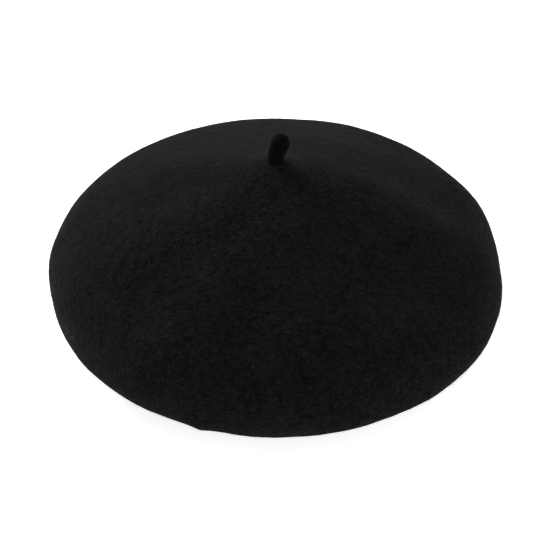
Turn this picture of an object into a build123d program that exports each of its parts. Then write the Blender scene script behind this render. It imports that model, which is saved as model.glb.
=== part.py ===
"""A wool felt beret with a felt stem, a leather sweatband and its sewn trims.

Millimetres, +Z up. The origin is the centre of the opening, on the surface the beret rests on.
The back of the head is towards +Y. The stem leans towards +X.
"""

import os
from math import acos, asin, atan2, cos, degrees, hypot, pi, radians, sin, sqrt, tan

from build123d import *

os.makedirs("parts", exist_ok=True)

# ---- Driving dimensions -------------------------------------------------------------------

# Felt body
overall_diameter = 280.0
crown_height = 108.5
felt_thickness = 2.5
crown_radius = 1000.0
rim_upper_radius = 38.0
rim_lower_radius = 16.0
underside_slope = 8.0
hem_fillet = 6.0
hem_wall_height = 2.6

# Head opening and sweatband
head_circumference = 570.0
sweatband_thickness = 1.0
sweatband_height = 28.0
sweatband_lean = 3.0
sweatband_joint_gap = 0.8

# Tapes behind the sweatband
stay_tape_thickness = 0.5
stay_tape_width = 8.0
stay_tape_lift = 0.6
backing_tape_thickness = 0.3
backing_tape_width = 14.0
backing_tape_bottom = 10.0
backing_tape_top = 26.0

# Sewing thread
thread_width = 0.55
hem_stitch_pitch = 5.0
hem_stitch_length = 3.4
hem_stitch_height = 4.4
joint_stitch_pitch = 3.0
joint_stitch_half_width = 2.6
label_stitch_pitch = 2.5
label_stitch_length = 1.6

# Stem
stem_base_radius = 4.8
stem_top_radius = 5.5
stem_length = 14.9
stem_pivot_height = 5.0
stem_lean = 18.5
stem_swing = 30.0
stem_neck_radius = 1.6
stem_knot_radius = 6.5
stem_knot_height = 2.2
stem_disc_radius = 12.0
stem_disc_thickness = 1.2
stem_tack_count = 6
stem_tack_radius = 9.5
stem_tack_depth = 1.3

# Bow at the back of the sweatband
bow_height = 18.0
bow_ribbon_width = 5.0
bow_ribbon_thickness = 0.4
bow_loop_length = 10.0
bow_loop_depth = 2.6
bow_tail_length = 11.0
bow_tail_angle = 24.0
bow_knot_width = 3.6
bow_knot_depth = 3.4
bow_knot_height = 5.8

# Labels
label_thickness = 0.4
size_label_width = 12.0
size_label_height = 9.0
size_label_bottom = 12.0
size_label_azimuth = 70.0
care_label_width = 22.0
care_label_flap_length = 13.0
care_label_edge_height = 3.0
care_label_top = 25.0

# Clearances
layer_gap = 0.1
moving_gap = 0.35
stem_hole_gap = 0.15

# ---- Sizes worked out from the driving dimensions ------------------------------------------

overall_radius = overall_diameter / 2
sweatband_foot_radius = head_circumference / (2 * pi)
lean_ratio = tan(radians(sweatband_lean))

stay_tape_inset = sweatband_thickness + layer_gap
hem_inner_radius = (
    sweatband_foot_radius + sweatband_thickness + stay_tape_thickness + 2 * layer_gap
)
hem_outer_radius = hem_inner_radius + felt_thickness

# Centres of the arcs of the felt's half section, as (radius, height)
slope = radians(underside_slope)
hem_centre = (hem_outer_radius + hem_fillet, hem_wall_height)
underside_run = (
    overall_radius - rim_lower_radius * (1 - sin(slope)) - hem_centre[0] + hem_fillet * sin(slope)
)
rim_height = (
    hem_wall_height
    + (hem_fillet + rim_lower_radius) * cos(slope)
    + underside_run * tan(slope)
)
lower_rim_centre = (overall_radius - rim_lower_radius, rim_height)
upper_rim_centre = (overall_radius - rim_upper_radius, rim_height)

# The crown's arc passes through the peak and touches the upper rim arc from inside
peak_to_rim = (upper_rim_centre[0], upper_rim_centre[1] - crown_height)
peak_to_rim_length = hypot(*peak_to_rim)
rim_to_crown_centre = crown_radius - rim_upper_radius
along = (
    crown_radius**2 - rim_to_crown_centre**2 + peak_to_rim_length**2
) / (2 * peak_to_rim_length)
across = sqrt(crown_radius**2 - along**2)
crown_centre = (
    (along * peak_to_rim[0] + across * peak_to_rim[1]) / peak_to_rim_length,
    crown_height + (along * peak_to_rim[1] - across * peak_to_rim[0]) / peak_to_rim_length,
)
shoulder_angle = degrees(
    atan2(upper_rim_centre[1] - crown_centre[1], upper_rim_centre[0] - crown_centre[0])
)
peak_slope = asin(-crown_centre[0] / crown_radius)


def peak_of(inset):
    """Height at which the crown's arc, moved in by inset, meets the axis."""
    return crown_centre[1] + sqrt((crown_radius - inset) ** 2 - crown_centre[0] ** 2)


def sweatband_radius(height, inset=0.0):
    """Radius of the sweatband's inner face at a height, moved outwards by inset."""
    return sweatband_foot_radius - height * lean_ratio + inset


def arc_span(width, radius):
    """Angle in degrees that a width covers along a circle."""
    return degrees(width / radius)


# ---- Profiles ----------------------------------------------------------------------------


def felt_outline(inset):
    """Half section of all that lies within the felt's outer face moved in by inset."""
    wall = hem_outer_radius - inset
    hem_arc = hem_fillet + inset
    rim_arc = rim_lower_radius - inset
    start = (hem_centre[0] - hem_arc * sin(slope), hem_centre[1] + hem_arc * cos(slope))
    end = (
        lower_rim_centre[0] + rim_arc * sin(slope),
        lower_rim_centre[1] - rim_arc * cos(slope),
    )
    peak = peak_of(inset)
    peak_angle = degrees(acos(-crown_centre[0] / (crown_radius - inset)))
    with BuildSketch() as outline:
        with BuildLine():
            Line((0, 0), (wall, 0))
            Line((wall, 0), (wall, hem_wall_height))
            CenterArc(hem_centre, hem_arc, 180, underside_slope - 90)
            Line(start, end)
            CenterArc(lower_rim_centre, rim_arc, underside_slope - 90, 90 - underside_slope)
            CenterArc(upper_rim_centre, rim_upper_radius - inset, 0, shoulder_angle)
            CenterArc(crown_centre, crown_radius - inset, shoulder_angle, peak_angle - shoulder_angle)
            Line((0, peak), (0, 0))
        make_face()
    return outline.sketch


def band_outline(bottom, top, inset, thickness):
    """Section of a strip that follows the leaning sweatband, inset from its inner face."""
    with BuildSketch() as outline:
        with BuildLine():
            Polyline(
                (sweatband_radius(bottom, inset), bottom),
                (sweatband_radius(bottom, inset + thickness), bottom),
                (sweatband_radius(top, inset + thickness), top),
                (sweatband_radius(top, inset), top),
                close=True,
            )
        make_face()
    return outline.sketch


def strip(bottom, top, inset, thickness, azimuth, width):
    """Strip of a given width on the sweatband, its middle at an azimuth in degrees."""
    span = arc_span(width, sweatband_radius((bottom + top) / 2, inset))
    turned = Plane.XZ.rotated((0, 0, azimuth - span / 2))
    outline = band_outline(bottom, top, inset, thickness)
    with BuildPart() as piece:
        with BuildSketch(turned):
            add(outline)
        revolve(axis=Axis.Z, revolution_arc=span)
    return piece.part


def stitch(radius, azimuth, height, length, reach, upright=False):
    """Stitch with a dash on the inner face, a dash on the far face and thread between them."""
    frame = Plane.XY.offset(height).rotated((0, 0, azimuth))
    size = (thread_width, thread_width, length) if upright else (thread_width, length, thread_width)
    inner = radius - thread_width / 4
    outer = radius + reach + thread_width / 4
    with BuildPart(frame) as piece:
        with Locations((inner, 0, 0), (outer, 0, 0)):
            Box(*size)
        with Locations(((inner + outer) / 2, 0, 0)):
            Box(outer - inner, thread_width, thread_width)
    return piece.part


# ---- Felt body ---------------------------------------------------------------------------

outer_face = felt_outline(0)
inner_face = felt_outline(felt_thickness)

with BuildPart() as felt_body:
    with BuildSketch(Plane.XZ):
        add(outer_face)
        add(inner_face, mode=Mode.SUBTRACT)
    revolve(axis=Axis.Z)
    # The hole at the peak that the stem's neck passes through
    with BuildSketch(Plane.XY.offset(crown_height - 3 * felt_thickness)):
        Circle(stem_neck_radius + stem_hole_gap)
    extrude(amount=6 * felt_thickness, mode=Mode.SUBTRACT)

felt_body.part.label = "felt_body"
export_step(felt_body.part, "parts/felt_body.step")

# ---- Sweatband and the tapes behind it -----------------------------------------------------

sweatband_section = band_outline(0, sweatband_height, 0, sweatband_thickness)
joint_cut_depth = 6 * sweatband_thickness + 2 * sweatband_height * lean_ratio

with BuildPart() as sweatband:
    with BuildSketch(Plane.XZ):
        add(sweatband_section)
    revolve(axis=Axis.Z)
    # The butt joint of the strip's two ends, at the back
    with Locations((0, sweatband_foot_radius, sweatband_height / 2)):
        Box(sweatband_joint_gap, joint_cut_depth, 2 * sweatband_height, mode=Mode.SUBTRACT)

sweatband.part.label = "sweatband"
export_step(sweatband.part, "parts/sweatband.step")

stay_tape_section = band_outline(
    stay_tape_lift,
    stay_tape_lift + stay_tape_width,
    stay_tape_inset,
    stay_tape_thickness,
)

with BuildPart() as stay_tape:
    with BuildSketch(Plane.XZ):
        add(stay_tape_section)
    revolve(axis=Axis.Z)

stay_tape.part.label = "stay_tape"
export_step(stay_tape.part, "parts/stay_tape.step")

backing_strip = strip(
    backing_tape_bottom,
    backing_tape_top,
    sweatband_thickness + layer_gap,
    backing_tape_thickness,
    90,
    backing_tape_width,
)

with BuildPart() as sweatband_backing_tape:
    add(backing_strip)

sweatband_backing_tape.part.label = "sweatband_backing_tape"
export_step(sweatband_backing_tape.part, "parts/sweatband_backing_tape.step")

# ---- Seams of the sweatband ----------------------------------------------------------------

# Hem: one ring of stitches through the leather, the stay tape and the felt
hem_stitch_count = round(2 * pi * hem_outer_radius / hem_stitch_pitch)
hem_stitch_inner = sweatband_radius(hem_stitch_height)
hem_felt_face = hem_centre[0] - sqrt(
    hem_fillet**2 - max(0.0, hem_stitch_height - hem_wall_height) ** 2
)
hem_stitch = stitch(
    hem_stitch_inner,
    0,
    hem_stitch_height,
    hem_stitch_length,
    hem_felt_face - hem_stitch_inner,
)

with BuildPart() as hem_stitches:
    with PolarLocations(0, hem_stitch_count, start_angle=90 + 180 / hem_stitch_count):
        add(hem_stitch)

hem_stitches.part.label = "hem_stitches"
export_step(hem_stitches.part, "parts/hem_stitches.step")

# Joint: stitches across the strip's two ends, through the leather and its backing tape
joint_reach = sweatband_thickness + layer_gap + backing_tape_thickness
joint_stitch_count = int(
    (backing_tape_top - backing_tape_bottom - thread_width) / joint_stitch_pitch
)
joint_stitch_offset = arc_span(joint_stitch_half_width, sweatband_foot_radius)
joint_stitch_list = [
    stitch(
        sweatband_radius(height),
        90 + side * joint_stitch_offset,
        height,
        joint_stitch_pitch - 2 * thread_width,
        joint_reach,
        upright=True,
    )
    for side in (-1, 1)
    for height in [
        backing_tape_bottom + joint_stitch_pitch * (row + 0.5)
        for row in range(joint_stitch_count)
    ]
]

with BuildPart() as sweatband_joint_stitches:
    add(joint_stitch_list)

sweatband_joint_stitches.part.label = "sweatband_joint_stitches"
export_step(sweatband_joint_stitches.part, "parts/sweatband_joint_stitches.step")

# ---- Stem --------------------------------------------------------------------------------

pivot = Vector(0, 0, crown_height + stem_pivot_height)
lean = radians(stem_lean)
stem_axis = Axis(pivot, (sin(lean), 0, cos(lean)))
stem_section_plane = Plane(pivot, x_dir=(cos(lean), 0, -sin(lean)), z_dir=(0, -1, 0))
stem_dome_centre = stem_length - stem_top_radius

# Pocket in the foot: the ball of the neck, and the cone that the neck sweeps within the swing
pocket_radius = stem_neck_radius + moving_gap
swing = radians(stem_swing)
pocket_reach = 2 * stem_base_radius
pocket_touch = (pocket_radius * cos(swing), pocket_radius * sin(swing))
pocket_mouth = (
    pocket_touch[0] + pocket_reach * sin(swing),
    pocket_touch[1] - pocket_reach * cos(swing),
)

with BuildPart() as stem:
    with BuildSketch(stem_section_plane):
        with BuildLine():
            CenterArc((0, 0), stem_base_radius, -90, 90)
            Line((stem_base_radius, 0), (stem_top_radius, stem_dome_centre))
            CenterArc((0, stem_dome_centre), stem_top_radius, 0, 90)
            Line((0, stem_length), (0, -stem_base_radius))
        make_face()
        with BuildLine():
            CenterArc((0, 0), pocket_radius, degrees(swing), 90 - degrees(swing))
            Line(pocket_touch, pocket_mouth)
            Line(pocket_mouth, (0, pocket_mouth[1]))
            Line((0, pocket_mouth[1]), (0, pocket_radius))
        make_face(mode=Mode.SUBTRACT)
    revolve(axis=stem_axis)

stem.part.label = "stem"
export_step(stem.part, "parts/stem.step")

# Neck, ball and the knot that holds the neck inside the crown
disc_top = peak_of(felt_thickness) - layer_gap / cos(peak_slope)
disc_bottom = disc_top - stem_disc_thickness / cos(peak_slope)
knot_top = disc_bottom - layer_gap / cos(peak_slope)
fall = tan(peak_slope)
knot_rim = knot_top - stem_knot_radius * fall
knot_bottom = knot_rim - stem_knot_height
knot_shoulder = knot_top - stem_neck_radius * fall
knot_foot_radius = 0.6 * stem_knot_radius

with BuildPart() as stem_root:
    with BuildSketch(Plane.XZ):
        with BuildLine():
            CenterArc((0, pivot.Z), stem_neck_radius, 0, 90)
            Polyline(
                (stem_neck_radius, pivot.Z),
                (stem_neck_radius, knot_shoulder),
                (stem_knot_radius, knot_rim),
                (knot_foot_radius, knot_bottom),
                (0, knot_bottom),
                (0, pivot.Z + stem_neck_radius),
            )
        make_face()
    revolve(axis=Axis.Z)

stem_root.part.label = "stem_root"
export_step(stem_root.part, "parts/stem_root.step")

# Felt washer between the crown and the knot, dished to the crown's slope
disc_hole = stem_neck_radius + stem_hole_gap

with BuildPart() as stem_backing_disc:
    with BuildSketch(Plane.XZ):
        with BuildLine():
            Polyline(
                (disc_hole, disc_top - disc_hole * fall),
                (stem_disc_radius, disc_top - stem_disc_radius * fall),
                (stem_disc_radius, disc_bottom - stem_disc_radius * fall),
                (disc_hole, disc_bottom - disc_hole * fall),
                close=True,
            )
        make_face()
    revolve(axis=Axis.Z)

stem_backing_disc.part.label = "stem_backing_disc"
export_step(stem_backing_disc.part, "parts/stem_backing_disc.step")

# Tacks that sew the washer to the crown from inside, without coming through it
tack_face = disc_bottom - stem_tack_radius * fall
tack_rise = stem_disc_thickness + layer_gap + stem_tack_depth
tack_half_length = (stem_disc_radius - stem_tack_radius) * 0.8

with BuildPart() as stem_tack_stitches:
    with PolarLocations(stem_tack_radius, stem_tack_count):
        with Locations((0, 0, tack_face)):
            Box(thread_width, 2 * tack_half_length, thread_width)
        with Locations((0, 0, tack_face + tack_rise / 2)):
            Box(thread_width, thread_width, tack_rise)

stem_tack_stitches.part.label = "stem_tack_stitches"
export_step(stem_tack_stitches.part, "parts/stem_tack_stitches.step")

# ---- Bow at the back ---------------------------------------------------------------------

bow_bottom = bow_height - bow_ribbon_width / 2
bow_band_face = sweatband_radius(bow_height + bow_knot_height / 2)
bow_centre_y = sqrt(bow_band_face**2 - bow_loop_length**2) - layer_gap - bow_knot_depth / 2
bow_loop_x = bow_knot_width / 2 + bow_loop_length / 2 - layer_gap

with BuildPart() as bow_ribbon:
    # Two flattened loops, held at their inner ends by the knot
    with BuildSketch(Plane.XY.offset(bow_bottom)):
        with Locations((-bow_loop_x, bow_centre_y), (bow_loop_x, bow_centre_y)):
            SlotOverall(bow_loop_length, bow_loop_depth)
            SlotOverall(
                bow_loop_length - 2 * bow_ribbon_thickness,
                bow_loop_depth - 2 * bow_ribbon_thickness,
                mode=Mode.SUBTRACT,
            )
    extrude(amount=bow_ribbon_width)
    # Two tails that hang from the knot
    for side in (-1, 1):
        tail_plane = Plane(
            (side * bow_knot_width / 4, bow_centre_y, bow_height - bow_knot_height / 4),
            x_dir=(cos(radians(bow_tail_angle)), 0, side * sin(radians(bow_tail_angle))),
            z_dir=(0, -1, 0),
        )
        with BuildSketch(tail_plane):
            with Locations((0, -bow_tail_length / 2)):
                Rectangle(bow_ribbon_width * 0.8, bow_tail_length)
        extrude(amount=bow_ribbon_thickness / 2, both=True)

bow_ribbon.part.label = "bow_ribbon"
export_step(bow_ribbon.part, "parts/bow_ribbon.step")

with BuildPart() as bow_knot:
    with Locations((0, bow_centre_y, bow_height)):
        Box(bow_knot_width, bow_knot_depth, bow_knot_height)
    fillet(bow_knot.edges().filter_by(Axis.Z), bow_knot_width * 0.35)

bow_knot.part.label = "bow_knot"
export_step(bow_knot.part, "parts/bow_knot.step")

# Tack from the knot through the joint's backing tape
bow_tack_reach = bow_band_face + joint_reach - bow_centre_y

with BuildPart() as bow_tack_stitch:
    with Locations((0, bow_centre_y + bow_tack_reach / 2, bow_height)):
        Box(thread_width, bow_tack_reach, thread_width)

bow_tack_stitch.part.label = "bow_tack_stitch"
export_step(bow_tack_stitch.part, "parts/bow_tack_stitch.step")

# ---- Size label, sewn flat on the sweatband --------------------------------------------------

size_strip = strip(
    size_label_bottom,
    size_label_bottom + size_label_height,
    -label_thickness - layer_gap,
    label_thickness,
    size_label_azimuth,
    size_label_width,
)

with BuildPart() as size_label:
    add(size_strip)

size_label.part.label = "size_label"
export_step(size_label.part, "parts/size_label.step")

size_stitch_reach = label_thickness + layer_gap + sweatband_thickness * 0.5
size_stitch_columns = int(size_label_height / label_stitch_pitch)
size_stitch_offset = arc_span(size_label_width / 2 - thread_width * 1.5, sweatband_foot_radius)
size_stitch_list = [
    stitch(
        sweatband_radius(height, -label_thickness - layer_gap),
        size_label_azimuth + side * size_stitch_offset,
        height,
        label_stitch_length,
        size_stitch_reach,
        upright=True,
    )
    for side in (-1, 1)
    for height in [
        size_label_bottom + label_stitch_pitch * (row + 0.7)
        for row in range(size_stitch_columns)
    ]
]

with BuildPart() as size_label_stitches:
    add(size_stitch_list)

size_label_stitches.part.label = "size_label_stitches"
export_step(size_label_stitches.part, "parts/size_label_stitches.step")

# ---- Care label: a sewn edge, and a flap that hangs from it ------------------------------------

# The label is flat, so it stands off the curved band by the bow of its width
care_half = care_label_width / 2
care_face = sqrt(sweatband_radius(care_label_top) ** 2 - care_half**2) - moving_gap
care_edge_bottom = care_label_top - care_label_edge_height
care_flap_top = care_edge_bottom - moving_gap
care_middle = care_face - label_thickness / 2

with BuildPart() as care_label_sewn_edge:
    with Locations((care_middle, 0, care_label_top - care_label_edge_height / 2)):
        Box(label_thickness, care_label_width, care_label_edge_height)

care_label_sewn_edge.part.label = "care_label_sewn_edge"
export_step(care_label_sewn_edge.part, "parts/care_label_sewn_edge.step")

with BuildPart() as care_label_flap:
    with Locations((care_middle, 0, care_flap_top - care_label_flap_length / 2)):
        Box(label_thickness, care_label_width, care_label_flap_length)
    fillet(
        care_label_flap.faces().sort_by(Axis.Z)[-1].edges().filter_by(Axis.Y),
        label_thickness * 0.45,
    )

care_label_flap.part.label = "care_label_flap"
export_step(care_label_flap.part, "parts/care_label_flap.step")

# Straight stitches through the sewn edge into the leather
care_stitch_count = int(care_label_width / label_stitch_pitch) - 1
care_stitch_height = care_label_top - care_label_edge_height / 2
care_stitch_depth = (
    sweatband_radius(care_stitch_height) + sweatband_thickness / 2 - care_face + label_thickness
)

with BuildPart() as care_label_stitches:
    for column in range(care_stitch_count):
        stitch_y = (column - (care_stitch_count - 1) / 2) * label_stitch_pitch
        with Locations((care_face - label_thickness, stitch_y, care_stitch_height)):
            Box(thread_width, label_stitch_length, thread_width)
        with Locations(
            (care_face - label_thickness + care_stitch_depth / 2, stitch_y, care_stitch_height)
        ):
            Box(care_stitch_depth, thread_width, thread_width)

care_label_stitches.part.label = "care_label_stitches"
export_step(care_label_stitches.part, "parts/care_label_stitches.step")

# ---- Joint axes, printed for the behaviour record --------------------------------------------

care_axis_height = care_flap_top - label_thickness / 2
print("stem hinge at", tuple(round(v, 3) for v in pivot), "lean", stem_lean, "swing", stem_swing)
print("care label hinge at", round(care_middle, 3), 0, round(care_axis_height, 3))
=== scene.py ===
import math
import random

import bmesh
import bpy
import numpy as np
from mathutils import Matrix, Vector, noise


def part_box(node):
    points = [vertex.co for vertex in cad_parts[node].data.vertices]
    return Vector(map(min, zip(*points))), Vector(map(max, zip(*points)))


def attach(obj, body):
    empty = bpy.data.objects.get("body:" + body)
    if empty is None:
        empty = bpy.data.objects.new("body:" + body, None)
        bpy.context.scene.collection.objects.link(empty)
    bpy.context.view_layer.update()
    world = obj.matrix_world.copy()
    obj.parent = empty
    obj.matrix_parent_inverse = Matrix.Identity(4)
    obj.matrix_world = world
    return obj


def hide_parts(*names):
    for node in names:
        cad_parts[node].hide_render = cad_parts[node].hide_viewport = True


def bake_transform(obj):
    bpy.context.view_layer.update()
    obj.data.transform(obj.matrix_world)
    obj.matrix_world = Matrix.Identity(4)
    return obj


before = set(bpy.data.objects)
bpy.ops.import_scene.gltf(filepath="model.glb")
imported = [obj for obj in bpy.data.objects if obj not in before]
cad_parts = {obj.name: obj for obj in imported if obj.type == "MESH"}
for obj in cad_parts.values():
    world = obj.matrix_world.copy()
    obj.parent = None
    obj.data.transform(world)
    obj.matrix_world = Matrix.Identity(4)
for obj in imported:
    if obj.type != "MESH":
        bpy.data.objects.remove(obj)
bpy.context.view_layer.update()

MM = 0.001
FULL_TURN = 2 * math.pi
RNG = np.random.default_rng(11)

# ---- Sizes, in metres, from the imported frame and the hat's own measures

FELT_THICKNESS = 2.5 * MM
CROWN_RADIUS = 1000 * MM
CROWN_HEIGHT = 108.5 * MM
RIM_UPPER_RADIUS = 38 * MM
RIM_LOWER_RADIUS = 16 * MM
HEM_FILLET = 6 * MM
HEM_WALL = 2.6 * MM
UNDERSIDE_SLOPE = math.radians(8)
RIM_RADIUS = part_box("felt_body")[1].x
HOLE_RADIUS = 1.75 * MM

BAND_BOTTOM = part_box("sweatband")[0].z
BAND_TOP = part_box("sweatband")[1].z
BAND_THICKNESS = 1.0 * MM
BAND_FOOT_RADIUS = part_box("sweatband")[1].x - BAND_THICKNESS
BAND_LEAN = math.tan(math.radians(3))
BAND_JOINT_GAP = 0.8 * MM
BAND_JOINT_AZIMUTH = math.pi / 2
BAND_RIPPLE = 0.5 * MM
BAND_GROOVE_DEPTH = 0.18 * MM

LAYER_GAP = 0.1 * MM
STAY_TAPE_THICKNESS = 0.5 * MM
STAY_TAPE_GAP = 0.3 * MM
BACKING_TAPE_THICKNESS = 0.3 * MM
HEM_OUTER_RADIUS = (
    BAND_FOOT_RADIUS + BAND_THICKNESS + STAY_TAPE_THICKNESS + 2 * LAYER_GAP + FELT_THICKNESS
)
THREAD_RADIUS = 0.27 * MM
HEM_STITCH_PITCH = 5.0 * MM
HEM_STITCH_LENGTH = 3.4 * MM
HEM_STITCH_HEIGHT = 4.4 * MM

STEM_PIVOT = Vector((0, 0, CROWN_HEIGHT + 5.0 * MM))
STEM_LEAN = math.radians(18.5)
STEM_BASE_RADIUS = 4.8 * MM
STEM_TOP_RADIUS = 5.5 * MM
STEM_LENGTH = 14.9 * MM


# ---- Mesh helpers


def new_piece(name, vertices, faces, material, smooth=True):
    """Mesh object from vertices and faces, facing outwards, with one material."""
    mesh = bpy.data.meshes.new(name)
    mesh.from_pydata([tuple(v) for v in vertices], [], [tuple(f) for f in faces])
    mesh.validate()
    mesh.update()
    form = bmesh.new()
    form.from_mesh(mesh)
    bmesh.ops.recalc_face_normals(form, faces=form.faces)
    form.to_mesh(mesh)
    form.free()
    if smooth:
        mesh.polygons.foreach_set("use_smooth", [True] * len(mesh.polygons))
    mesh.materials.append(material)
    piece = bpy.data.objects.new(name, mesh)
    bpy.context.scene.collection.objects.link(piece)
    return piece


def grid_faces(rows, columns, close_rows, close_columns):
    """Quads of a grid of rows x columns vertices, closed over either direction."""
    r = np.arange(rows if close_rows else rows - 1)
    c = np.arange(columns if close_columns else columns - 1)
    a = r[:, None] * columns + c[None, :]
    b = r[:, None] * columns + (c[None, :] + 1) % columns
    d = ((r[:, None] + 1) % rows) * columns + c[None, :]
    e = ((r[:, None] + 1) % rows) * columns + (c[None, :] + 1) % columns
    return np.stack([a, b, e, d], -1).reshape(-1, 4)


def smoothstep(low, high, x):
    t = np.clip((x - low) / (high - low), 0, 1)
    return t * t * (3 - 2 * t)


def turn_towards(angle, centre):
    """Signed difference of two angles, within half a turn."""
    return (angle - centre + math.pi) % FULL_TURN - math.pi


def noise_field(points, scale, seed):
    """Smooth noise from -1 to 1 at each point; scale is the size of its lumps in metres."""
    shift = Vector((seed * 7.13, seed * 3.71, seed * 5.39))
    return np.array([noise.noise(Vector(p) / scale + shift) for p in points])


def tube_faces(rows, columns, closed=False):
    """Faces of a tube made of rows rings, with a face over each end unless it is closed."""
    faces = grid_faces(rows, columns, closed, True).tolist()
    if not closed:
        faces.append(list(range(columns))[::-1])
        faces.append([(rows - 1) * columns + k for k in range(columns)])
    return faces


def unit(vectors):
    """Each of an array's vectors at a length of one."""
    return vectors / (np.linalg.norm(vectors, axis=-1)[..., None] + 1e-12)


def directions(path, closed):
    """Unit vectors along a path, one at each of its points."""
    if closed:
        return unit(np.roll(path, -1, 0) - np.roll(path, 1, 0))
    return unit(np.gradient(path, axis=0))


def tube(path, radius, sides=6, closed=False):
    """Vertices and faces of a round tube along a path; radius is a number or one for each point."""
    path = np.asarray(path, float)
    count = len(path)
    radii = np.full(count, radius) if np.isscalar(radius) else np.asarray(radius)
    along = directions(path, closed)
    side = np.cross(along[0], (0.3, 0.5, 0.81))
    across = []
    for direction in along:
        side = unit(side - direction * (side @ direction))
        across.append(side)
    across = np.array(across)
    other = np.cross(along, across)
    turn = np.linspace(0, FULL_TURN, sides, endpoint=False)
    ring = (
        np.cos(turn)[None, :, None] * across[:, None, :]
        + np.sin(turn)[None, :, None] * other[:, None, :]
    )
    vertices = (path[:, None, :] + ring * radii[:, None, None]).reshape(-1, 3)
    return vertices, tube_faces(count, sides, closed)


def gather(parts):
    """Several (vertices, faces) as one."""
    vertices, faces, start = [], [], 0
    for part_vertices, part_faces in parts:
        vertices.extend(part_vertices)
        faces.extend([[i + start for i in f] for f in part_faces])
        start += len(part_vertices)
    return vertices, faces


# ---- Materials


class Shader:
    """A material's node tree with short calls for what the hat's materials share."""

    def __init__(self, name):
        self.material = bpy.data.materials.new(name)
        self.material.use_nodes = True
        self.tree = self.material.node_tree
        self.surface = self.tree.nodes["Principled BSDF"]
        self.place = self.tree.nodes.new("ShaderNodeTexCoord")

    def set(self, **values):
        for label, value in values.items():
            self.surface.inputs[label.replace("_", " ")].default_value = value

    def texture(self, kind, **values):
        """Texture node of a kind, in the object's own coordinates."""
        node = self.tree.nodes.new("ShaderNodeTex" + kind)
        for label, value in values.items():
            node.inputs[label.replace("_", " ")].default_value = value
        self.tree.links.new(self.place.outputs["Object"], node.inputs["Vector"])
        return node

    def noise(self, scale, detail=4, roughness=0.6, distortion=0.0):
        values = {"Scale": scale, "Detail": detail, "Roughness": roughness}
        return self.texture("Noise", Distortion=distortion, **values).outputs["Fac"]

    def voronoi(self, scale):
        return self.texture("Voronoi", Scale=scale).outputs["Distance"]

    def wave(self, scale, direction, distortion=0.0):
        node = self.texture("Wave", Scale=scale, Distortion=distortion, Detail_Scale=2.0)
        node.bands_direction = direction
        return node.outputs["Fac"]

    def math(self, operation, first, second):
        node = self.tree.nodes.new("ShaderNodeMath")
        node.operation = operation
        for socket, value in zip(node.inputs, (first, second)):
            if isinstance(value, (int, float)):
                socket.default_value = value
            else:
                self.tree.links.new(value, socket)
        return node.outputs[0]

    def ramp(self, factor, stops):
        """Colour ramp; stops are (position, grey or colour)."""
        node = self.tree.nodes.new("ShaderNodeValToRGB")
        elements = node.color_ramp.elements
        while len(elements) < len(stops):
            elements.new(0.5)
        for element, (position, colour) in zip(elements, stops):
            element.position = position
            rgb = (colour,) * 3 if isinstance(colour, (int, float)) else colour
            element.color = (*rgb, 1)
        self.tree.links.new(factor, node.inputs["Fac"])
        return node.outputs["Color"]

    def range(self, factor, low, high):
        node = self.tree.nodes.new("ShaderNodeMapRange")
        node.inputs["To Min"].default_value = low
        node.inputs["To Max"].default_value = high
        self.tree.links.new(factor, node.inputs["Value"])
        return node.outputs["Result"]

    def to(self, output, label):
        self.tree.links.new(output, self.surface.inputs[label])

    def bump(self, layers):
        """Bump from (height, strength, distance) layers, one on another."""
        last = None
        for height, strength, distance in layers:
            node = self.tree.nodes.new("ShaderNodeBump")
            node.inputs["Strength"].default_value = strength
            node.inputs["Distance"].default_value = distance
            self.tree.links.new(height, node.inputs["Height"])
            if last:
                self.tree.links.new(last, node.inputs["Normal"])
            last = node.outputs["Normal"]
        self.to(last, "Normal")


def felt_material(name, dark, light, sheen, grain=1.0):
    """Milled wool: matt, near black, with tangled fibres, faint blotches and a soft nap."""
    s = Shader(name)
    s.set(Specular_IOR_Level=0.03, Sheen_Weight=sheen, Sheen_Roughness=0.24)
    s.set(Sheen_Tint=(0.94, 0.95, 1.0, 1))
    fibres = s.noise(620 * grain, detail=5, roughness=0.75, distortion=1.2)
    tangle = s.noise(290 * grain, detail=4, roughness=0.62, distortion=0.7)
    blotches = s.noise(34, detail=3, roughness=0.5)
    mixed = s.math("ADD", s.math("MULTIPLY", fibres, 0.6), s.math("MULTIPLY", tangle, 0.4))
    shaded = s.math("ADD", mixed, s.math("MULTIPLY", s.math("SUBTRACT", blotches, 0.5), 0.17))
    middle = tuple((a + b) / 2 for a, b in zip(dark, light))
    stops = [(0.405, dark), (0.50, middle), (0.61, light)]
    s.to(s.ramp(shaded, stops), "Base Color")
    s.to(s.range(mixed, 0.82, 1.0), "Roughness")
    tufts = s.noise(540 * grain, detail=2.5, roughness=0.55, distortion=0.5)
    strands = s.noise(2400, detail=3, roughness=0.6, distortion=3.5)
    clumps = s.noise(165 * grain, detail=2, roughness=0.5, distortion=0.4)
    s.bump([
        (clumps, 0.9, 0.0050),
        (tangle, 0.95, 0.0042),
        (tufts, 1.0, 0.0034),
        (strands, 0.6, 0.00030),
    ])
    return s.material


def fibre_material(name, dark, light):
    """Loose wool fibres: thin, smoother than the felt, so that they catch the light."""
    s = Shader(name)
    s.set(Specular_IOR_Level=0.22, Sheen_Weight=0.03, Sheen_Roughness=0.5)
    tint = s.noise(420, detail=2)
    s.to(s.ramp(tint, [(0.35, dark), (0.62, light)]), "Base Color")
    s.to(s.range(tint, 0.42, 0.62), "Roughness")
    return s.material


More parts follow.
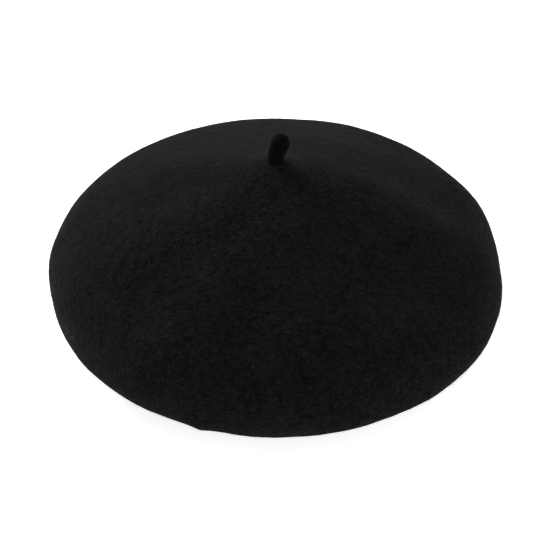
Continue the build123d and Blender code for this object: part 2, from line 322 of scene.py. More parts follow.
def leather_material(name):
    """Fine-grained sweatband leather with pores and a little wear."""
    s = Shader(name)
    s.set(Specular_IOR_Level=0.35, Coat_Weight=0.04, Coat_Roughness=0.4)
    cells = s.voronoi(2300)
    grain = s.ramp(cells, [(0.15, 1.0), (0.75, 0.0)])
    creases = s.noise(420, detail=4, roughness=0.6, distortion=1.4)
    pores = s.noise(5200, detail=3)
    wear = s.noise(60, detail=5, roughness=0.65)
    stops = [(0.35, (0.010, 0.0088, 0.0082)), (0.66, (0.022, 0.0195, 0.018))]
    s.to(s.ramp(wear, stops), "Base Color")
    s.to(s.range(wear, 0.42, 0.60), "Roughness")
    s.bump([(creases, 0.45, 0.00035), (grain, 0.55, 0.00012), (pores, 0.20, 0.00004)])
    return s.material


def woven_material(name, dark, light, warp, weft, gloss=0.8, axes="ZXY"):
    """Plain woven cloth: ribs along the first axis, crossed by finer ones along the other two."""
    s = Shader(name)
    s.set(Specular_IOR_Level=0.12, Sheen_Weight=0.05, Sheen_Roughness=0.4)
    ribs = s.wave(warp, axes[0], distortion=0.6)
    cross = s.math(
        "MULTIPLY", s.wave(weft, axes[1], distortion=0.6), s.wave(weft, axes[2], distortion=0.6)
    )
    weave = s.math("ADD", s.math("MULTIPLY", ribs, 0.6), s.math("MULTIPLY", cross, 0.4))
    slub = s.noise(800, detail=4)
    tone = s.math("ADD", s.math("MULTIPLY", weave, 0.6), s.math("MULTIPLY", slub, 0.4))
    s.to(s.ramp(tone, [(0.25, dark), (0.72, light)]), "Base Color")
    s.to(s.range(slub, gloss - 0.12, gloss + 0.08), "Roughness")
    s.bump([(weave, 0.5, 0.00010), (slub, 0.2, 0.00005)])
    return s.material


def thread_material(name, dark, light):
    """Twisted sewing thread with its diagonal plies."""
    s = Shader(name)
    s.set(Specular_IOR_Level=0.3, Sheen_Weight=0.03)
    plies = s.wave(900, "DIAGONAL", distortion=0.4)
    lint = s.noise(2600, detail=3)
    s.to(s.ramp(plies, [(0.2, dark), (0.8, light)]), "Base Color")
    s.to(s.range(lint, 0.45, 0.7), "Roughness")
    s.bump([(plies, 0.6, 0.00008), (lint, 0.2, 0.00003)])
    return s.material


# ---- Felt body

# Folds that the crown's weight and the stem's pull leave, radiating from the stem:
# azimuth near the stem and at the rim, half width on either side, height
CROWN_FOLDS = [
    (224, 206, 30, 15, 3.4),
    (256, 242, 13, 18, 3.0),
    (4, -12, 26, 14, 3.0),
    (-48, -44, 20, 20, -1.7),
    (150, 152, 26, 26, 0.9),
    (85, 88, 30, 30, 0.7),
]

# Dents: azimuth, distance from the axis, radius and depth of each
CROWN_DENTS = [
    (6, 101, 14, -1.4),
    (-37, 116, 32, -3.6),
    (115, 70, 30, -0.8),
]

# How far the outline leaves a circle: azimuth, half width, amount
RIM_SWELLS = [
    (2, 9, -1.2), (19, 11, 1.2), (55, 20, 1.0), (98, 14, -0.9),
    (155, 9, -0.4), (169, 5, -0.5), (182, 5, 0.7), (194, 8, -0.8),
    (210, 11, -0.4), (235, 14, -0.4), (258, 6, -0.6), (272, 20, 0.7),
    (308, 11, 1.1), (328, 13, 1.6), (346, 6, 0.6), (354, 5, -0.8),
]

# The felt that the stem draws up: height and radius of the rise
STEM_RISE = (3.2, 17)

# A pinched corner low on the rim: azimuth, half width and amount
RIM_PINCH = (252, 2.2, 1.5)

# How uneven the felt is: height and size of its lumps
BROAD_LUMPS = (0.55 * MM, 34 * MM)
SMALL_LUMPS = (0.16 * MM, 9 * MM)
FINE_LUMPS = (0.085 * MM, 3.2 * MM)

# The felt keeps its blocked shape up to the first radius and is free past the second
HELD_BY_STEM = (2 * MM, 9 * MM)
HELD_BY_HEM = (101 * MM, 118 * MM)

FELT_COLUMNS = 448
OUTER_STEP = 1.65 * MM
INNER_STEP = 5.5 * MM


def felt_profile(inset, step):
    """Points (radius, height) of the felt's face moved in by inset, from stem's hole to hem."""
    hem_centre = (HEM_OUTER_RADIUS + HEM_FILLET, HEM_WALL)
    lower_x = RIM_RADIUS - RIM_LOWER_RADIUS
    sine, cosine = math.sin(UNDERSIDE_SLOPE), math.cos(UNDERSIDE_SLOPE)
    run = (lower_x + RIM_LOWER_RADIUS * sine) - (hem_centre[0] - HEM_FILLET * sine)
    rim_height = (
        HEM_WALL + (HEM_FILLET + RIM_LOWER_RADIUS) * cosine + run * math.tan(UNDERSIDE_SLOPE)
    )
    upper_x = RIM_RADIUS - RIM_UPPER_RADIUS
    to_rim = np.array((upper_x, rim_height - CROWN_HEIGHT))
    length = np.linalg.norm(to_rim)
    along = (CROWN_RADIUS**2 - (CROWN_RADIUS - RIM_UPPER_RADIUS) ** 2 + length**2) / (2 * length)
    across = math.sqrt(CROWN_RADIUS**2 - along**2)
    unit = to_rim / length
    crown = np.array((0, CROWN_HEIGHT)) + along * unit + across * np.array((unit[1], -unit[0]))
    shoulder = math.atan2(rim_height - crown[1], upper_x - crown[0])
    crown_arc = CROWN_RADIUS - inset
    peak = math.acos((HOLE_RADIUS - crown[0]) / crown_arc)
    points = []

    def arc(centre, radius, start, end):
        count = max(3, math.ceil(abs(end - start) * radius / step))
        for angle in np.linspace(start, end, count, endpoint=False):
            x = centre[0] + radius * math.cos(angle)
            points.append((x, centre[1] + radius * math.sin(angle)))

    arc(crown, crown_arc, peak, shoulder)
    arc((upper_x, rim_height), RIM_UPPER_RADIUS - inset, shoulder, 0)
    arc((lower_x, rim_height), RIM_LOWER_RADIUS - inset, 0, UNDERSIDE_SLOPE - math.pi / 2)
    rim_arc, hem_arc = RIM_LOWER_RADIUS - inset, HEM_FILLET + inset
    start = np.array((lower_x + rim_arc * sine, rim_height - rim_arc * cosine))
    end = np.array((hem_centre[0] - hem_arc * sine, hem_centre[1] + hem_arc * cosine))
    count = max(3, math.ceil(np.linalg.norm(end - start) / step))
    for share in np.linspace(0, 1, count, endpoint=False):
        points.append(tuple(start + (end - start) * share))
    arc(hem_centre, hem_arc, math.pi / 2 + UNDERSIDE_SLOPE, math.pi)
    for share in (0.0, 0.5):
        points.append((HEM_OUTER_RADIUS - inset, HEM_WALL * (1 - share)))
    return np.array(points), rim_height


def felt_form(azimuth, radius, height, rim_height):
    """How far the worn felt stands out of the blocked shape, along its normal."""
    stand = np.zeros_like(azimuth)
    upper = smoothstep(rim_height, rim_height + 15 * MM, height)
    reach = smoothstep(10 * MM, 70 * MM, radius)
    reach = reach * (1 - 0.55 * smoothstep(100 * MM, 134 * MM, radius))
    for near, far, before, after, tall in CROWN_FOLDS:
        centre = np.radians(near + (far - near) * smoothstep(40 * MM, 120 * MM, radius))
        off = turn_towards(azimuth, centre)
        off = off / np.radians(np.where(off < 0, before, after))
        stand += tall * MM * np.exp(-off * off) * reach * upper
    x, y = radius * np.cos(azimuth), radius * np.sin(azimuth)
    for at, out, size, deep in CROWN_DENTS:
        dx = x - out * MM * math.cos(math.radians(at))
        dy = y - out * MM * math.sin(math.radians(at))
        stand += deep * MM * np.exp(-(dx * dx + dy * dy) / (size * MM) ** 2) * upper
    rim = smoothstep(104 * MM, 136 * MM, radius)
    for at, half, amount in RIM_SWELLS:
        off = turn_towards(azimuth, math.radians(at)) / math.radians(half)
        stand += amount * MM * np.exp(-off * off) * rim
    at, half, amount = RIM_PINCH
    off = turn_towards(azimuth, math.radians(at)) / math.radians(half)
    low = np.exp(-(((height - 20 * MM) / (9 * MM)) ** 2))
    stand += amount * MM * np.exp(-np.abs(off) ** 1.3) * rim * low
    return stand


def make_felt_body(material):
    """The felt as one closed shell. Returns its outside as a grid of points, for the fibres."""
    outer, rim_height = felt_profile(0, OUTER_STEP)
    inner, _ = felt_profile(FELT_THICKNESS, INNER_STEP)
    edge = 0.5 * MM
    foot = [
        (HEM_OUTER_RADIUS - 0.15 * edge, edge * 0.5),
        (HEM_OUTER_RADIUS - edge, 0),
        (HEM_OUTER_RADIUS - FELT_THICKNESS + edge, 0),
        (HEM_OUTER_RADIUS - FELT_THICKNESS + 0.15 * edge, edge * 0.5),
    ]
    section = np.concatenate([outer, foot, inner[::-1]])
    # Normals of the blocked shape point out of the hat on both faces, so that the felt keeps
    # its thickness; the foot stays flat
    slope_outer, slope_inner = np.gradient(outer, axis=0), np.gradient(inner, axis=0)
    slope = np.concatenate([slope_outer, np.zeros((len(foot), 2)), slope_inner[::-1]])
    normal = unit(np.stack([-slope[:, 1], slope[:, 0]], -1))
    azimuth = np.linspace(0, FULL_TURN, FELT_COLUMNS, endpoint=False)
    grid_azimuth = np.broadcast_to(azimuth, (len(section), FELT_COLUMNS)).ravel()
    radius, height = np.repeat(section, FELT_COLUMNS, axis=0).T
    normal_r, normal_z = np.repeat(normal, FELT_COLUMNS, axis=0).T
    points = np.stack([radius * np.cos(grid_azimuth), radius * np.sin(grid_azimuth), height], -1)
    stand = felt_form(grid_azimuth, radius, height, rim_height)
    stand += BROAD_LUMPS[0] * noise_field(points, BROAD_LUMPS[1], 1)
    stand += SMALL_LUMPS[0] * noise_field(points, SMALL_LUMPS[1], 2)
    outside = len(outer) * FELT_COLUMNS
    stand[:outside] += FINE_LUMPS[0] * noise_field(points[:outside], FINE_LUMPS[1], 3)
    # The hem is held by its seam, and the peak by the stem
    lower = 1 - smoothstep(rim_height - 6 * MM, rim_height, height)
    held = 1 - lower * (1 - smoothstep(*HELD_BY_HEM, radius))
    held *= smoothstep(*HELD_BY_STEM, radius)
    stand *= held
    points[:, 0] += stand * normal_r * np.cos(grid_azimuth)
    points[:, 1] += stand * normal_r * np.sin(grid_azimuth)
    points[:, 2] += stand * normal_z
    rise, spread = STEM_RISE
    drawn_up = np.exp(-((radius / (spread * MM)) ** 2)) * (height > rim_height)
    points[:, 2] += rise * MM * drawn_up
    faces = grid_faces(len(section), FELT_COLUMNS, True, True)[:, ::-1]
    piece = new_piece("felt_crown", points, faces, material)
    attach(piece, "hat")
    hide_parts("felt_body")
    return points[:outside].reshape(len(outer), FELT_COLUMNS, 3)


# ---- Loose fibres on the felt

FIBRE_RADIUS = 0.022 * MM
RIM_FIBRE_RADIUS = 0.034 * MM
ROOT_DEPTH = 0.12 * MM

# Rubbed patches round the rim: azimuth, half width and how many more fibres
RUBBED_PATCHES = [
    (158, 9, 2.4), (176, 6, 2.0), (211, 6, 2.2), (318, 6, 2.4), (342, 8, 1.2), (75, 12, 0.8)
]


def scatter_fibres(name, surface, count, length, lift, weight, material, radius=FIBRE_RADIUS):
    """Curled fibres rooted on a grid of surface points, most where weight is greatest."""
    here = surface[:-1]
    below = surface[1:]
    right = np.roll(surface, -1, 1)[:-1]
    edge_a, edge_b = right - here, below - here
    cross = np.cross(edge_b, edge_a)
    area = np.linalg.norm(cross, axis=-1)
    normal = cross / (area[..., None] + 1e-15)
    chance = (area * weight(here)).ravel()
    cell = RNG.choice(len(chance), size=count, p=chance / chance.sum())
    row, column = np.unravel_index(cell, area.shape)
    u, v = RNG.random(count), RNG.random(count)
    root = here[row, column] + edge_a[row, column] * u[:, None]
    root = root + edge_b[row, column] * v[:, None]
    up = normal[row, column]
    tangent = unit(edge_a[row, column])
    other = np.cross(up, tangent)
    heading = RNG.random(count) * FULL_TURN
    curl = RNG.normal(0, 1.1, count)
    rise = np.clip(RNG.gamma(1.6, lift / 1.6, count), 0.02, 1.0)
    sink = RNG.uniform(0.15, 0.7, count)
    long = RNG.uniform(*length, count)
    knots = 4
    path = np.zeros((knots, count, 3))
    path[0] = root - up * ROOT_DEPTH
    for k in range(1, knots):
        angle = heading + curl * k
        flat = tangent * np.cos(angle)[:, None] + other * np.sin(angle)[:, None]
        pitch = rise * (1 - sink * (k - 1))
        step = unit(flat + up * pitch[:, None])
        path[k] = path[k - 1] + step * (long / (knots - 1))[:, None]
    along = unit(path[-1] - path[0])
    side = unit(np.cross(along, up))
    back = np.cross(along, side)
    taper = np.array([1.0, 0.95, 0.7, 0.25]) * radius
    vertices = np.zeros((count, knots, 3, 3))
    for k in range(knots):
        for corner in range(3):
            turn = FULL_TURN * corner / 3
            out = math.cos(turn) * side + math.sin(turn) * back
            vertices[:, k, corner] = path[k] + taper[k] * out
    base = (np.arange(count) * knots * 3)[:, None]
    one = grid_faces(knots, 3, False, True)
    quads = (base[:, :, None] + one[None]).reshape(-1, 4)
    caps = np.concatenate([base + np.array([[0, 2, 1]]), base + 9 + np.array([[0, 1, 2]])])
    faces = quads.tolist() + caps.tolist()
    piece = new_piece(name, vertices.reshape(-1, 3), faces, material)
    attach(piece, "hat")


def off_the_ground(points):
    """No fibres on the hem and the foot of the underside, so that none reaches the ground."""
    return smoothstep(9 * MM, 13 * MM, points[..., 2])


def rim_weight(points):
    """Short upright fibres where the hat's outline lies."""
    radius = np.hypot(points[..., 0], points[..., 1])
    return smoothstep(112 * MM, 130 * MM, radius) * off_the_ground(points)


def patchy_weight(points):
    """More fibres in a few rubbed patches round the rim."""
    azimuth = np.arctan2(points[..., 1], points[..., 0])
    radius = np.hypot(points[..., 0], points[..., 1])
    patches = 0.35 + np.zeros_like(azimuth)
    for at, half, amount in RUBBED_PATCHES:
        off = turn_towards(azimuth, math.radians(at)) / math.radians(half)
        patches += amount * np.exp(-off * off)
    return patches * smoothstep(118 * MM, 137 * MM, radius) * off_the_ground(points)


# ---- Stem

# The stem's foot, as the felt narrows into the stem: height above the crown and radius, in mm
STEM_FOOT = [(0.0, 5.9), (0.7, 5.6), (1.4, 5.3), (2.1, 5.05), (2.9, 4.9), (3.8, 4.8), (4.8, 4.8)]
STEM_SINK = 0.4 * MM


def make_stem(material):
    """Felt stem that grows out of the crown, leans and ends in a dome."""
    columns = 40
    lean_axis = Vector((math.sin(STEM_LEAN), 0, math.cos(STEM_LEAN)))
    foot = CROWN_HEIGHT - STEM_SINK
    dome = STEM_LENGTH - STEM_TOP_RADIUS
    centres, radii, frames = [], [], []
    for above, radius in STEM_FOOT:
        z = foot + above * MM
        share = smoothstep(foot + 2 * MM, STEM_PIVOT.z + 2 * MM, z)
        angle = STEM_LEAN * share
        centres.append(Vector((0.15 * MM * share, 0, z)))
        radii.append(radius * MM)
        frames.append(Vector((math.sin(angle), 0, math.cos(angle))))
    for along in np.linspace(1.2 * MM, dome, 9):
        centres.append(STEM_PIVOT + lean_axis * along)
        share = along / dome
        radii.append(STEM_BASE_RADIUS + (STEM_TOP_RADIUS - STEM_BASE_RADIUS) * share)
        frames.append(lean_axis)
    for angle in np.linspace(12, 87, 9):
        rise = math.radians(angle)
        centres.append(STEM_PIVOT + lean_axis * (dome + STEM_TOP_RADIUS * math.sin(rise)))
        radii.append(STEM_TOP_RADIUS * math.cos(rise))
        frames.append(lean_axis)
    vertices = []
    side = Vector((0, 1, 0))
    for centre, radius, axis in zip(centres, radii, frames):
        across = side.cross(axis).normalized()
        for k in range(columns):
            turn = FULL_TURN * k / columns
            out = across * math.cos(turn) + side * math.sin(turn)
            point = centre + out * radius
            lump = noise.noise(point / (4 * MM)) * 0.16 * MM
            lump += noise.noise(point / (1.6 * MM)) * 0.06 * MM
            vertices.append(point + out * lump)
    piece = new_piece("felt_stem", vertices, tube_faces(len(centres), columns), material)
    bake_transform(piece)
    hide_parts("stem")


# ---- Sweatband, tapes and seams


def band_radius(height):
    """Radius of the sweatband's inner face."""
    return BAND_FOOT_RADIUS - height * BAND_LEAN


def make_strip(
    name, bottom, top, inset, thickness, start, end, material, columns, ripple=0.0, groove=None
):
    """Strip that follows the sweatband from one azimuth to another, with rounded edges.
    groove is the height and depth of a line sunk into its inner face."""
    edge = min(thickness * 0.45, (top - bottom) * 0.1)
    rows = max(6, int((top - bottom) / (1.2 * MM)))
    heights = np.linspace(bottom + edge, top - edge, rows)
    section = [(0.0, h, 1) for h in heights]
    section += [(thickness * 0.25, top - edge * 0.2, 1), (thickness * 0.75, top - edge * 0.2, 0)]
    section += [(thickness, h, 0) for h in heights[::-1]]
    foot = bottom + edge * 0.05
    section += [(thickness * 0.75, foot, 0), (thickness * 0.25, foot, 1)]
    azimuths = np.linspace(start, end, columns)
    vertices = []
    for depth, height, inner in section:
        radius = band_radius(height) + inset + depth
        share = (height - bottom) / (top - bottom)
        for azimuth in azimuths:
            x, y = math.cos(azimuth), math.sin(azimuth)
            wave = noise.noise(Vector((x * 3.1, y * 3.1, share * 0.8 + inset * 900)))
            wave = wave * ripple * share
            sunk = 0.0
            if groove and inner:
                sunk = groove[1] * math.exp(-(((height - groove[0]) / (0.9 * MM)) ** 2))
            out = radius - abs(wave) + sunk
            vertices.append((x * out, y * out, height))
    faces = grid_faces(len(section), columns, True, False).tolist()
    faces.append([r * columns for r in range(len(section))])
    faces.append([r * columns + columns - 1 for r in range(len(section))][::-1])
    return new_piece(name, vertices, faces, material)


def stitch_loop(azimuth, height, length, inner, outer, upright=False):
    """One lockstitch: a closed loop of thread through the layers."""
    half = length / 2
    corner = 0.25 * length
    flat = [(-half, 0.35), (-half + corner, 0.0), (0, -0.04), (half - corner, 0.0), (half, 0.35)]
    path = []
    for along, dip in flat:
        path.append((inner + dip * THREAD_RADIUS * 2, along))
    for along, dip in flat[::-1]:
        path.append((outer - dip * THREAD_RADIUS * 2, along))
    points = []
    for radius, along in path:
        if upright:
            points.append((radius * math.cos(azimuth), radius * math.sin(azimuth), height + along))
        else:
            turned = azimuth + along / radius
            points.append((radius * math.cos(turned), radius * math.sin(turned), height))
    return tube(points, THREAD_RADIUS, sides=7, closed=True)


def make_thread(name, node, loops, material):
    """Stitches as one piece that stands for a node."""
    piece = new_piece(name, *gather(loops), material)
    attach(piece, "hat")
    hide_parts(node)


STITCH_SINK = 0.06 * MM


def make_hem_stitches(material):
    """Lockstitches all round the hem, a little uneven as sewn ones are."""
    height = HEM_STITCH_HEIGHT
    count = round(FULL_TURN * HEM_OUTER_RADIUS / HEM_STITCH_PITCH)
    inner = band_radius(height) - STITCH_SINK
    bulge = math.sqrt(HEM_FILLET**2 - (height - HEM_WALL) ** 2)
    outer = HEM_OUTER_RADIUS + HEM_FILLET - bulge + STITCH_SINK
    picker = random.Random(5)
    loops = []
    for k in range(count):
        azimuth = BAND_JOINT_AZIMUTH + FULL_TURN * (k + 0.5) / count
        length = HEM_STITCH_LENGTH * picker.uniform(0.94, 1.04)
        level = height + picker.uniform(-0.08, 0.08) * MM
        loops.append(stitch_loop(azimuth, level, length, inner, outer))
    make_thread("hem_thread", "hem_stitches", loops, material)


def make_joint_stitches(material):
    """Two upright rows of stitches that hold the sweatband's joint to the tape behind it."""
    pitch, half_width, bottom, count = 3.0 * MM, 2.6 * MM, 10 * MM, 5
    length = pitch - 1.1 * MM
    loops = []
    for side in (-1, 1):
        for row in range(count):
            height = bottom + pitch * (row + 0.5)
            azimuth = BAND_JOINT_AZIMUTH + side * half_width / BAND_FOOT_RADIUS
            inner = band_radius(height) - STITCH_SINK
            outer = band_radius(height) + BAND_THICKNESS + LAYER_GAP + BACKING_TAPE_THICKNESS
            loops.append(stitch_loop(azimuth, height, length, inner, outer, upright=True))
    make_thread("joint_thread", "sweatband_joint_stitches", loops, material)


def make_sweatband(material):
    """Leather strip that stands inside the opening, with a sewn line sunk into it."""
    gap = BAND_JOINT_GAP / BAND_FOOT_RADIUS / 2
    band = make_strip(
        "leather_sweatband", BAND_BOTTOM, BAND_TOP, 0, BAND_THICKNESS,
        BAND_JOINT_AZIMUTH + gap, BAND_JOINT_AZIMUTH + FULL_TURN - gap, material,
        columns=420, ripple=BAND_RIPPLE, groove=(HEM_STITCH_HEIGHT, BAND_GROOVE_DEPTH),
    )
    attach(band, "hat")
    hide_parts("sweatband")


def make_tapes(material):
    """The stay tape round the hem and the tape behind the joint, both woven."""
    stay_bottom, stay_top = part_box("stay_tape")[0].z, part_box("stay_tape")[1].z
    inset = BAND_THICKNESS + LAYER_GAP
    gap = STAY_TAPE_GAP / BAND_FOOT_RADIUS
    stay = make_strip(
        "woven_stay_tape", stay_bottom, stay_top, inset, STAY_TAPE_THICKNESS,
        BAND_JOINT_AZIMUTH + gap, BAND_JOINT_AZIMUTH + FULL_TURN - gap, material, columns=360,
    )
    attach(stay, "hat")
    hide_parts("stay_tape")
    low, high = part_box("sweatband_backing_tape")
    half = math.atan2(high.x, high.y)
    backing = make_strip(
        "woven_backing_tape", low.z, high.z, inset, BACKING_TAPE_THICKNESS,
        BAND_JOINT_AZIMUTH - half, BAND_JOINT_AZIMUTH + half, material, columns=24,
    )
    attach(backing, "hat")
    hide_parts("sweatband_backing_tape")


def ribbon(path, across, half_widths, thickness, closed=False, pleat=0.0, notch=0.0, columns=13):
    """Strip of ribbon along a path, with pleats where it is gathered and a notch cut in its end."""
    path, across = np.asarray(path, float), np.asarray(across, float)
    count = len(path)
    along = directions(path, closed)
    across = unit(across - along * np.sum(across * along, axis=1)[:, None])
    out = np.cross(along, across)
    pleats = np.broadcast_to(pleat, count)
    widest = np.max(half_widths)
    vertices = []
    for i in range(count):
        face = []
        for u in np.linspace(-1, 1, columns):
            gathered = pleats[i] * math.cos(2.5 * math.pi * u) * (1 - half_widths[i] / widest * 0.9)
            selvedge = 1.0 - 0.35 * max(0.0, abs(u) - 0.92) / 0.08
            point = path[i] + across[i] * u * half_widths[i] + out[i] * gathered
            if notch and i == count - 1:
                point = point - along[i] * notch * (1 - abs(u))
            face.append((point, selvedge))
        vertices.extend(point + out[i] * thickness / 2 * edge for point, edge in face)
        vertices.extend(point - out[i] * thickness / 2 * edge for point, edge in face[::-1])
    return vertices, tube_faces(count, 2 * columns, closed)


# The bow's ribbon: half its width where gathered and where open, and its thickness
RIBBON_GATHERED = 1.1 * MM
RIBBON_HALF_WIDTH = 2.5 * MM
RIBBON_THICKNESS = 0.4 * MM
LOOP_PLEAT = 0.32 * MM
LOOP_DROOP = 0.5 * MM
TAIL_LENGTH = 10.9 * MM
TAIL_ANGLE = math.radians(24)
TAIL_PLEAT = 0.30 * MM
TAIL_NOTCH = 1.3 * MM
KNOT_PLEAT = 0.9 * MM
KNOT_THICKNESS = 0.5 * MM
KNOT_POINTS = 36
TACK_PLY_RADIUS = 0.15 * MM


def bow_loop(side, centre, inner, reach):
    """One loop of the bow, from the knot out and back: flat at its end, pleated at the knot."""
    path, halves, pleats = [], [], []
    for turn in np.linspace(0.10, FULL_TURN - 0.10, 41):
        share = (1 - math.cos(turn)) / 2
        x = inner + (reach - inner) * share
        y = -1.15 * MM * math.sin(turn) * math.sqrt(share) * (1 + 0.08 * side)
        path.append((centre.x + side * x, centre.y + y, centre.z - LOOP_DROOP * share * share))
        spread = smoothstep(0.05, 0.75, share)
        halves.append(RIBBON_GATHERED + (RIBBON_HALF_WIDTH - RIBBON_GATHERED) * spread)
        pleats.append(LOOP_PLEAT * (1 - smoothstep(0.1, 0.8, share)))
    across = [(0, 0.05 * side, 1)] * len(path)
    return ribbon(path, across, halves, RIBBON_THICKNESS, pleat=pleats)


def bow_tail(side, start):
    """One tail of the bow, from under the knot down to a notched end."""
    down = Vector((side * math.sin(TAIL_ANGLE), 0, -math.cos(TAIL_ANGLE)))
    path, halves, pleats = [], [], []
    for share in np.linspace(0, 1, 21):
        bend = Vector((0, 0.35 * math.sin(share * 5.0 + side) * share, 0)) * MM
        path.append(tuple(start + down * (share * TAIL_LENGTH) + bend))
        halves.append((0.95 + 1.05 * smoothstep(0.05, 0.55, share)) * MM)
        pleats.append(TAIL_PLEAT * (1 - smoothstep(0.1, 0.7, share)))
    across = [(math.cos(TAIL_ANGLE), 0, side * math.sin(TAIL_ANGLE))] * len(path)
    return ribbon(path, across, halves, RIBBON_THICKNESS, pleat=pleats, notch=TAIL_NOTCH)


def bow_wrap(centre, half):
    """The band of ribbon wrapped round the middle of the bow."""
    path, halves = [], []
    for k in range(KNOT_POINTS):
        turn = FULL_TURN * k / KNOT_POINTS
        c, n = math.cos(turn), math.sin(turn)
        y = math.copysign(abs(c) ** 0.7, c) * (half.y - 0.3 * MM)
        z = math.copysign(abs(n) ** 0.7, n) * (half.z - 0.3 * MM)
        path.append((centre.x, centre.y + y, centre.z + z))
        halves.append(half.x * (0.92 + 0.07 * math.cos(2 * turn)))
    across = [(1, 0, 0)] * KNOT_POINTS
    return ribbon(path, across, halves, KNOT_THICKNESS, closed=True, pleat=KNOT_PLEAT)


def bow_tack(centre, start, end):
    """Two twisted plies of thread that run through the bow from start to end along Y."""
    plies = []
    for side in (-1, 1):
        strand = []
        for share in np.linspace(0, 1, 25):
            twist = 7 * math.pi * share
            off = 0.10 * MM * side
            y = start + (end - start) * share
            strand.append((centre.x + off * math.cos(twist), y, centre.z + off * math.sin(twist)))
        plies.append(tube(strand, TACK_PLY_RADIUS, sides=6))
    return plies


def make_bow(material, thread):
    """Grosgrain bow: two loops pinched in a wrapped knot, and two notched tails."""
    low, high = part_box("bow_knot")
    centre, knot_half = (low + high) / 2, (high - low) / 2
    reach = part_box("bow_ribbon")[1].x - 0.25 * MM
    shapes = []
    for side in (-1, 1):
        shapes.append(bow_loop(side, centre, 0.3 * knot_half.x, reach))
        under = Vector((side * knot_half.x / 2, centre.y, centre.z - knot_half.z / 2))
        shapes.append(bow_tail(side, under))
    bow = new_piece("ribbon_bow", *gather(shapes), material)
    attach(bow, "hat")
    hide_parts("bow_ribbon")
    knot = new_piece("ribbon_knot", *bow_wrap(centre, knot_half), material)
    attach(knot, "hat")
    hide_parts("bow_knot")
    tack_low, tack_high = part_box("bow_tack_stitch")
    plies = bow_tack(centre, tack_low.y + 0.1 * MM, tack_high.y - 0.1 * MM)
    make_thread("bow_tack_thread", "bow_tack_stitch", plies, thread)


LABEL_STITCH_PITCH = 2.5 * MM
LABEL_STITCH_LENGTH = 1.6 * MM
SIZE_LABEL_AZIMUTH = math.radians(70)
SIZE_LABEL_WIDTH = 12 * MM
SIZE_LABEL_TURN_IN = 1.6 * MM
SIZE_LABEL_CLOTH = 0.16 * MM
CARE_LABEL_CLOTH = 0.18 * MM


def label_sheet(columns, rows, place, thickness):
    """Closed sheet whose point at (u, v) from 0 to 1 and depth comes from place(u, v, depth)."""
    vertices = []
    for depth in (0.0, thickness):
        for row in range(rows):
            for column in range(columns):
                vertices.append(place(column / (columns - 1), row / (rows - 1), depth))
    top = rows * columns
    faces = []
    for row in range(rows - 1):
        for column in range(columns - 1):
            a = row * columns + column
            b, c, d = a + 1, a + columns + 1, a + columns
            faces.append([a, b, c, d])
            faces.append([top + a, top + d, top + c, top + b])
    rim = [(0, column) for column in range(columns)]
    rim += [(row, columns - 1) for row in range(1, rows)]
    rim += [(rows - 1, column) for column in range(columns - 2, -1, -1)]
    rim += [(row, 0) for row in range(rows - 2, 0, -1)]
    ids = [row * columns + column for row, column in rim]
    for a, b in zip(ids, ids[1:] + ids[:1]):
        faces.append([b, a, top + a, top + b])
    return vertices, faces


def make_size_label(material, thread):
    """Satin label sewn flat on the band, its top and bottom edges turned in."""
    low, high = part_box("size_label")[0].z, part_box("size_label")[1].z
    face_gap, fold, fold_gap = 0.34 * MM, 0.35 * MM, 0.22 * MM
    height = high - low - SIZE_LABEL_CLOTH
    total = height + 2 * SIZE_LABEL_TURN_IN

    def place(u, v, depth):
        along = v * total - SIZE_LABEL_TURN_IN
        behind = 0.0
        if along < 0:
            behind, along = fold_gap * min(1.0, -along / fold), -along * 0.98
        elif along > height:
            past = along - height
            behind, along = fold_gap * min(1.0, past / fold), height - past * 0.98
        level = low + SIZE_LABEL_CLOTH / 2 + along
        puff = 0.14 * MM * math.sin(math.pi * u) ** 0.6 + 0.03 * MM * math.sin(19 * u + 7 * v)
        out = band_radius(level) - face_gap - puff + behind
        out += (depth - SIZE_LABEL_CLOTH / 2) * (1 if behind < fold_gap / 2 else -1)
        azimuth = SIZE_LABEL_AZIMUTH + (u - 0.5) * SIZE_LABEL_WIDTH / out
        return (out * math.cos(azimuth), out * math.sin(azimuth), level)

    sheet = label_sheet(25, 33, place, SIZE_LABEL_CLOTH)
    label = new_piece("satin_size_label", *sheet, material)
    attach(label, "hat")
    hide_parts("size_label")
    loops = []
    offset = (SIZE_LABEL_WIDTH / 2 - 0.8 * MM) / BAND_FOOT_RADIUS
    for side in (-1, 1):
        azimuth = SIZE_LABEL_AZIMUTH + side * offset
        for row in range(3):
            level = low + LABEL_STITCH_PITCH * (row + 0.7)
            inner = band_radius(level) - 0.62 * MM
            outer = inner + 1.0 * MM
            loops.append(
                stitch_loop(azimuth, level, LABEL_STITCH_LENGTH, inner, outer, upright=True)
            )
    make_thread("size_label_thread", "size_label_stitches", loops, thread)


